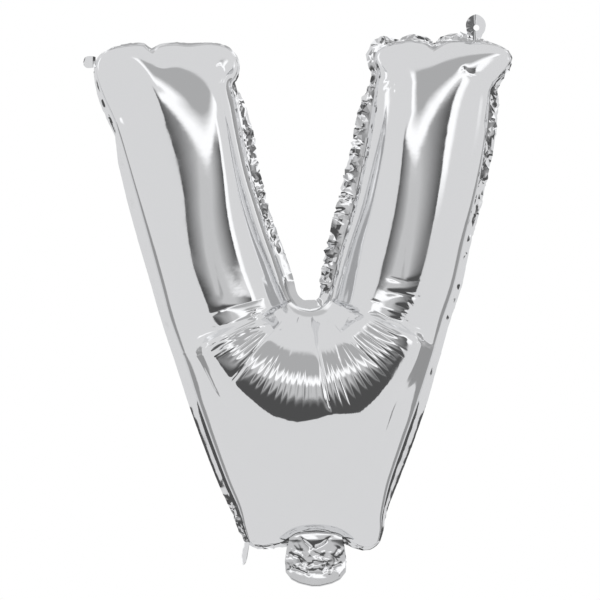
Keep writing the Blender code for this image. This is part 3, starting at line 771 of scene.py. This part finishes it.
# The sealed edge outside the weld: a place on the weld, how wide the edge shows there and how crinkled it
# is.
EDGE = (((48.3, 175), 7, 1), ((55.3, 178.5), 7, 1), ((63, 179.9), 1.8, 0.6), ((71.4, 181.3), 5, 1),
        ((81.2, 179.9), 4.5, 1), ((87.5, 177.1), 2.6, 0.8), ((93.8, 179.9), 4, 1),
        ((100.1, 181.3), 5.2, 1), ((111.3, 181.3), 6.5, 0.9), ((121.1, 179.9), 2.4, 0.5),
        ((132.3, 177.8), 0.8, 0.2), ((141.4, 168), 1.5, 0.3), ((137.2, 161), 2, 0.9),
        ((130.2, 151.9), 3.5, 0.9), ((126, 144.9), 6.5, 0.8), ((125.3, 119), 7, 0.8),
        ((121.8, 98), 5.6, 0.7), ((116.2, 70), 5.2, 0.5), ((109.2, 42), 4.6, 0.3),
        ((102.9, 14), 5, 0.25), ((93.8, -14), 5, 0.2), ((85.4, -42), 5.6, 0.2), ((77, -70), 6, 0.1),
        ((67.2, -98), 6.2, 0.12), ((57.4, -126), 5.4, 0.12), ((52.5, -143.5), 3, 0.2),
        ((50.4, -161.7), 1.6, 0.15), ((47.6, -170.1), 1.6, 0.2), ((37.1, -172.2), 2.6, 0.4),
        ((25.9, -167.3), 4, 0.8), ((18.9, -163.8), 5, 1), ((5.6, -162.4), 4, 0.8),
        ((-8.4, -163.8), 5, 1), ((-16.8, -168.7), 4, 0.8), ((-28.7, -171.5), 2.8, 0.5),
        ((-41.3, -169.4), 2.6, 0.7), ((-45.5, -159.6), 4.5, 0.8), ((-49.7, -145.6), 5.5, 0.7),
        ((-55, -134), 6, 0.3), ((-58.1, -126), 6, 0.1), ((-68.6, -98), 6.4, 0.06),
        ((-78.4, -70), 6.6, 0.06), ((-87.5, -42), 6.6, 0.08), ((-97.3, -14), 6, 0.1),
        ((-105, 14), 6.4, 0.1), ((-112.7, 42), 7, 0.1), ((-120.4, 70), 7, 0.1), ((-128.1, 98), 6, 0.1),
        ((-133, 115.5), 3, 0.15), ((-137.2, 127.4), 4.5, 0.2), ((-143.5, 141.4), 4, 0.2),
        ((-147.7, 154), 2.6, 0.2), ((-149.1, 163.8), 1.2, 0.2), ((-147, 170.1), 0.8, 0.2),
        ((-140, 175), 0.8, 0.2), ((-128.8, 177.8), 1.4, 0.2), ((-116.2, 178.5), 1.6, 0.2),
        ((-110.6, 175), 1.2, 0.2), ((-104.3, 177.8), 1.4, 0.2), ((-83.3, 178.5), 1.4, 0.2),
        ((-69.3, 179.2), 1.2, 0.2), ((-57.4, 176.4), 1.2, 0.2), ((-51.1, 170.1), 1.2, 0.2),
        ((-49.7, 163.8), 1.2, 0.2), ((-51.1, 156.8), 1.5, 0.3), ((-54.6, 151.9), 2.5, 0.5),
        ((-53.2, 145.6), 4, 0.5), ((-50.4, 136.5), 5.5, 0.5), ((-46.2, 115.5), 7.4, 0.6),
        ((-41.3, 91), 6.6, 0.7), ((-35.7, 70), 6.0, 0.7), ((-29.4, 49), 6.2, 0.6),
        ((-23.1, 31.5), 6.4, 0.25), ((-16.8, 14.7), 6, 0.02), ((-12.2, 2.1), 4.6, 0),
        ((-6.6, -4.5), 5.4, 0), ((0.7, -6.6), 6.6, 0), ((8, -4.6), 5.6, 0), ((13.1, 1.6), 5.6, 0.3),
        ((15.4, 9.8), 8.4, 1), ((20.3, 28), 10, 1.1), ((25.2, 46.9), 10.6, 1.1), ((30.1, 63), 11, 1.1),
        ((35.7, 87.5), 10.6, 1.1), ((40.6, 112), 10.4, 1.1), ((44.1, 133), 9.6, 1.1),
        ((46.9, 150.5), 5, 1), ((48.3, 158.2), 4, 0.9), ((46.9, 163.8), 5.2, 1))

# Rows of the sealed edge as shares of its width, how far each one leans back as a share of the width, above
# and at the foot of the letter, and how much of the crinkle it takes.
EDGE_ROWS = (-0.05, 0.12, 0.38, 0.68, 1.0)
EDGE_BENDS = (0, 0.09, 0.25, 0.34, 0.54)
EDGE_FOOT_BENDS = (0, 0.05, 0.13, 0.31, 0.40)
EDGE_FOOT = (-55, -85)
EDGE_LUMPS = (0, 0.15, 0.55, 0.95, 1.0)
EDGE_STEP = 2.1
EDGE_STEP_VARIATION = (0.45, 1.7)
EDGE_SEED = 5
# How far the crinkles slide points along the edge, scatter them in its plane, and move them out of it.
EDGE_SLIDE = 0.8
EDGE_SCATTER = 0.5
EDGE_WAVE = 0.8
EDGE_LUMP = 0.55
EDGE_NEIGHBOURS = (0.25, 0.6, 0.25)
# Where the edge is more crinkled than this, this share of its small faces has sharp sides.
EDGE_SHARP_FROM = 0.35
EDGE_SHARP_SHARE = 0.4


def sealed_edge(foil):
    """The crinkled strip of film outside the weld, all round the letter."""
    draw = np.random.default_rng(EDGE_SEED)
    runs = [RIGHT_TOP, RIGHT_OUTER, RIGHT_BASE, LEFT_BASE[::-1], LEFT_OUTER[::-1], LEFT_TOP[::-1], LEFT_INNER,
            RIGHT_INNER[::-1]]
    loop = np.vstack([smooth_curve(run)[:-1] for run in runs])
    loop = np.vstack([loop, loop[:1]])
    total = lengths(loop)[-1]
    steps = draw.uniform(*EDGE_STEP_VARIATION, int(total / EDGE_STEP))
    count = len(steps)
    place = (np.cumsum(steps) - steps[0]) * total / steps.sum()
    line = at(loop, place)
    keys = np.array([e[0] for e in EDGE])
    where = lengths(loop)[[np.argmin(np.linalg.norm(loop - k, axis=1)) for k in keys]]
    order = np.argsort(where)
    width, crinkle = (np.interp(place, where[order], np.array([EDGE[k][n] for k in order]), period=total)
                      for n in (1, 2))
    ahead = np.roll(line, -3, 0) - np.roll(line, 3, 0)
    outward = np.stack([-ahead[:, 1], ahead[:, 0]], 1)
    outward /= np.linalg.norm(outward, axis=1)[:, None]
    rows = []
    wave = np.sin(place / 3.1 + 2 * np.sin(place / 9.3)) + 0.5 * np.sin(place / 1.7)
    # a calm edge leans back the most, and one without any crinkle hardly at all
    plain = np.clip(1.4 - crinkle / 0.9, 0.3, 1) * np.clip(crinkle / 0.05, 0.1, 1)
    foot = np.clip((EDGE_FOOT[0] - line[:, 1]) / (EDGE_FOOT[0] - EDGE_FOOT[1]), 0, 1)
    for row, upper, lower, lumpy in zip(EDGE_ROWS, EDGE_BENDS, EDGE_FOOT_BENDS, EDGE_LUMPS):
        out = max(row, 0)
        bend = upper + (lower - upper) * foot
        slide = draw.uniform(-EDGE_SLIDE, EDGE_SLIDE, count) * crinkle * min(out * 2, 1) * (row < 1)
        flat = at(loop, (place + slide) % total) + outward * (width * row)[:, None]
        flat += draw.normal(0, EDGE_SCATTER, (count, 2)) * (crinkle * min(out * 2, 1))[:, None]
        lump = np.convolve(draw.normal(0, 1, count + 2), EDGE_NEIGHBOURS, "valid")
        depth = crinkle * lumpy * (out * EDGE_WAVE * wave + EDGE_LUMP * lump) + bend * width * plain
        rows.append(np.stack([flat[:, 0], depth, flat[:, 1]], 1))
    points = np.vstack(rows)
    faces = []
    for r in range(len(EDGE_ROWS) - 1):
        for k in range(count):
            a, b = r * count + k, r * count + (k + 1) % count
            c, d = b + count, a + count
            faces += [(a, b, c), (a, c, d)] if draw.random() < 0.5 else [(a, b, d), (b, c, d)]
    piece = make_mesh("sealed_edge", points, faces)
    sharp = np.array([crinkle[f[0] % count] > EDGE_SHARP_FROM and draw.random() < EDGE_SHARP_SHARE
                      for f in faces])
    piece.data.polygons.foreach_set("use_smooth", ~sharp)
    piece.data.materials.append(foil)
    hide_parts("seam_margin")
    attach(piece, "letter")


def hinge(name):
    """The place of a fold, in millimetres."""
    for joint in frame["joints"]:
        if joint["name"] == name:
            return np.array(joint["pos_m"], float) / MM
    raise ValueError(name)


# The upright tab: where its hole's centre stands from the root, the hole's radius, how far the tab reaches
# from that centre by direction in degrees, the shares of the way out at which its rows lie, and how much it
# leans backwards on each side of the crease that runs up it.
UPRIGHT_CENTRE = (0.2, 6.5)
UPRIGHT_HOLE = 2.1
UPRIGHT_REACH = ((-180, 7.0), (-135, 7.2), (-112, 8.4), (-90, 10.4), (-68, 8.0), (-45, 6.2), (0, 6.4),
                 (45, 8.0), (90, 9.4), (135, 8.6), (180, 7.0))
UPRIGHT_ROWS = (0, 0.15, 0.4, 0.65, 0.85, 1)
UPRIGHT_POINTS = 56
UPRIGHT_CREASE = 1.0
UPRIGHT_SLOPES = (-0.36, 0.52)
UPRIGHT_SEED = 3


def upright_tab(foil):
    """The tab with a hole on the right arm: a drop that narrows to its root."""
    root = hinge("tab_top_right_fold")
    draw = np.random.default_rng(UPRIGHT_SEED)
    centre = np.array((root[0] + UPRIGHT_CENTRE[0], root[2] + UPRIGHT_CENTRE[1]))
    count = UPRIGHT_POINTS
    angle = np.linspace(-180, 180, count, endpoint=False)
    outer = np.interp(angle, *np.array(UPRIGHT_REACH).T)
    turn = np.radians(angle)
    rows = []
    for place in UPRIGHT_ROWS:
        radius = UPRIGHT_HOLE + (outer - UPRIGHT_HOLE) * place
        x, z = centre[0] + radius * np.cos(turn), centre[1] + radius * np.sin(turn)
        off = x - centre[0] + UPRIGHT_CREASE
        depth = np.where(off < 0, *UPRIGHT_SLOPES) * off + draw.normal(0, 0.02, count) * place
        rows.append(np.stack([x, depth, z], 1))
    faces = []
    for r in range(len(UPRIGHT_ROWS) - 1):
        for k in range(count):
            a, b = r * count + k, r * count + (k + 1) % count
            faces.append((a, b, b + count, a + count))
    points = np.vstack(rows)
    finish_tab("tab_upright", points, faces, foil, "hang_tab_top_right")


# The two small tabs: piece, node and body, the way each one runs out from its root, how far it is turned
# about that line in degrees, its slope, half its width, its length, and the seed of its random draws.
TONGUES = (
    ("tab_corner", "hang_tab_top_left", "tab_top_left", (-1, 0, 0.0), 0, -0.45, 4.2, 7.4, 21),
    ("tab_base", "hang_tab_base_left", "tab_base_left", (-0.2, 0, -1), 62, 0, 4.4, 14.5, 22),
)
TONGUE_GRID = (18, 9)
TONGUE_TUCK = 1.5
TONGUE_ROUND_FROM = 0.55
TONGUE_ROOT_WIDTH = 0.86
TONGUE_BOW = 0.4


def tongue(foil, name, node, body, way, twist, slope, half_width, length, seed):
    """A small round-ended tab that runs out from its root along way, turned about that line by twist."""
    root = hinge(body + "_fold")
    draw = np.random.default_rng(seed)
    way = np.array(way, float)
    way /= np.linalg.norm(way)
    side = np.array((-way[2], 0, way[0]))
    face = np.cross(way, side)
    across = side * math.cos(math.radians(twist)) + face * math.sin(math.radians(twist))
    proud = np.cross(way, across)
    rows, columns = TONGUE_GRID
    points = []
    for r in range(rows):
        u = r / (rows - 1)
        out = -TONGUE_TUCK + (length + TONGUE_TUCK) * u
        end = max((u - TONGUE_ROUND_FROM) / (1 - TONGUE_ROUND_FROM), 0)
        half = half_width * math.sqrt(max(1 - end ** 2.2, 0))
        half *= TONGUE_ROOT_WIDTH + (1 - TONGUE_ROOT_WIDTH) * min(u * 3, 1)
        for c in range(columns):
            v = c / (columns - 1) * 2 - 1
            bend = TONGUE_BOW * v * v + 0.2 * math.sin(u * 5) + draw.normal(0, 0.04) + slope * max(out, 0)
            points.append(root + way * out + across * (half * v) + proud * bend)
    finish_tab(name, np.array(points), quads(rows, columns), foil, node)


def finish_tab(name, points, faces, foil, node):
    """Make a tab's piece with the foil, in place of its hidden node."""
    piece = make_mesh(name, points, faces)
    piece.data.materials.append(foil)
    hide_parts(node)
    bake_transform(piece)


TAIL_TOP = -161.0
TAIL_DROP = 39.4
TAIL_GRID = (89, 97)
TAIL_NECK_TILT = 1.0
TAIL_LEAN = 2.6
TAIL_NECK = 0.17
TAIL_LEAN_FROM = 0.3
TAIL_FOLDS_FROM = 0.1
# Half the tail's width by the share of the way down.
TAIL_SIDE = ((0, 13.0), (0.1, 18.8), (0.3, 20.2), (0.55, 21.6), (0.75, 21.0), (0.88, 17.0), (0.95, 11.5),
             (1, 3))
# The main folds of the tail's films, as X and Z from the foot of the neck, with depth and the reach of their
# two sides.
TAIL_FOLDS = (
    (((-11.5, 2), (-7.5, -2.2), (-1.8, -7.4)), 1.0, 0.6, 1.6),
    (((-1.8, -7.4), (5, -4.0), (12.5, 3)), 1.0, 1.6, 0.6),
    (((-6.7, -20.2), (-1.1, -16.7), (8.7, -17.4)), 0.6, 0.8, 1.4),
    (((8.7, -17.4), (4.5, -23), (-4.6, -23), (-6.7, -20.2)), 0.6, 0.8, 1.4),
    (((-19, -10), (-12, -14), (-9, -20)), 0.5, 1.0, 1.8),
    (((-19, -20), (-12, -22), (-3, -26)), 0.6, 0.8, 1.6),
    (((17, -6), (13, -12), (14, -18)), 0.5, 1.0, 1.6),
    (((19, -17), (12, -20), (9, -24)), 0.5, 0.9, 1.6),
)
TAIL_FOLD_FADE = 0.12
# The small tucks: how many, between which heights and how far to each side, and how their sizes vary.
TAIL_TUCKS = 90
TAIL_TUCK_END = -25.0
TAIL_TUCK_START = -8.0
TAIL_TUCK_SIDE = 20
TUCK_REACH = (0.5, 1.0)
TUCK_LENGTH = (1.8, 4.5)
TUCK_DEPTH = (0.06, 0.2)
TAIL_SWELL = 0.35
# Each film: its piece, its node, its place along Y, its size against the back film, and its seed.
TAIL_FILMS = (("tail_front", "tail_front_film", -2.0, 0.97, 31),
              ("tail_back", "tail_back_film", 0.6, 1.0, 32))


def tail_relief(x, z, draw):
    """The folds of one film of the tail: the main ones, then many small tucks, and soft swells."""
    points = np.stack([x.ravel(), z.ravel()], 1)
    relief = np.zeros(len(points))
    for line, deep, left, right in TAIL_FOLDS:
        dist, place = line_place(points, line)
        fade = np.clip(place / TAIL_FOLD_FADE, 0, 1) * np.clip((1 - place) / TAIL_FOLD_FADE, 0, 1)
        relief += deep * np.exp(-np.abs(dist) / np.where(dist > 0, left, right)) * fade
    for k in range(TAIL_TUCKS):
        side = draw.uniform(-TAIL_TUCK_SIDE, TAIL_TUCK_SIDE)
        middle = np.array((side, draw.uniform(TAIL_TUCK_END, TAIL_TUCK_START)))
        way = math.radians(draw.normal(0, 38) + 1.4 * middle[0])
        along = np.array((math.cos(way), math.sin(way)))
        off = points - middle
        run = off @ along
        bow = 0.03 * draw.normal() * run ** 2
        across = off @ np.array((-along[1], along[0])) - bow
        reach = draw.uniform(*TUCK_REACH)
        size = draw.uniform(*TUCK_LENGTH)
        deep = draw.uniform(*TUCK_DEPTH) * draw.choice((-1, 1))
        relief += deep * np.exp(-np.abs(across) / reach - (run / size) ** 2)
    swell = TAIL_SWELL * np.sin(x / 4.3 + 1.1 * np.sin(z / 5.0)) * np.sin(z / 5.2 + 0.8)
    calm = np.clip((z - TAIL_TUCK_END + 3) / 5, 0.06, 1)
    return relief.reshape(x.shape) * calm + swell * calm


def tail_film(foil, name, node, depth, shrink, seed):
    """One crumpled film of the filling tail, from the weld down to its round end."""
    root = hinge("tail_fold")
    rows, columns = TAIL_GRID
    v, u = np.meshgrid(np.linspace(0, 1, rows), np.linspace(0, 1, columns), indexing="ij")
    where, half = zip(*TAIL_SIDE)
    side = (2 * u - 1) * np.interp(v, where, half) * shrink
    z = TAIL_TOP - TAIL_DROP * shrink * v
    neck = TAIL_NECK_TILT * np.clip(1 - v / TAIL_NECK, 0, 1)
    lean = -TAIL_LEAN * np.clip((v - TAIL_LEAN_FROM) / (1 - TAIL_LEAN_FROM), 0, 1) ** 1.3
    relief = tail_relief(side, z - root[2], np.random.default_rng(seed))
    depth = depth + relief * np.clip((v - TAIL_FOLDS_FROM) * 8, 0, 1) + neck + lean
    points = np.stack([(root[0] + side).ravel(), depth.ravel(), z.ravel()], 1)
    piece = make_mesh(name, points, quads(rows, columns))
    piece.data.materials.append(foil)
    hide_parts(node)
    z = root[2] * MM
    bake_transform(piece)


def sleeve(plastic):
    """The valve sleeve keeps its packed form and takes a clear material."""
    piece = frame["nodes"]["valve_sleeve"]
    piece.data.materials.clear()
    piece.data.materials.append(plastic)


SILVER = (0.86, 0.865, 0.875, 1)
CLEAR = (0.80, 0.82, 0.83, 1)

foil = film_material("silver_foil_film", SILVER, metallic=1, rough=(0.05, 0.10), bump=0.5, scale=90)
plastic = film_material("clear_plastic_film", CLEAR, metallic=0, rough=(0.12, 0.25), bump=1.0, scale=150)
studio()
stage_and_camera()
build_film(foil)
sealed_edge(foil)
upright_tab(foil)
for each in TONGUES:
    tongue(foil, *each)
for each in TAIL_FILMS:
    tail_film(foil, *each)
sleeve(plastic)
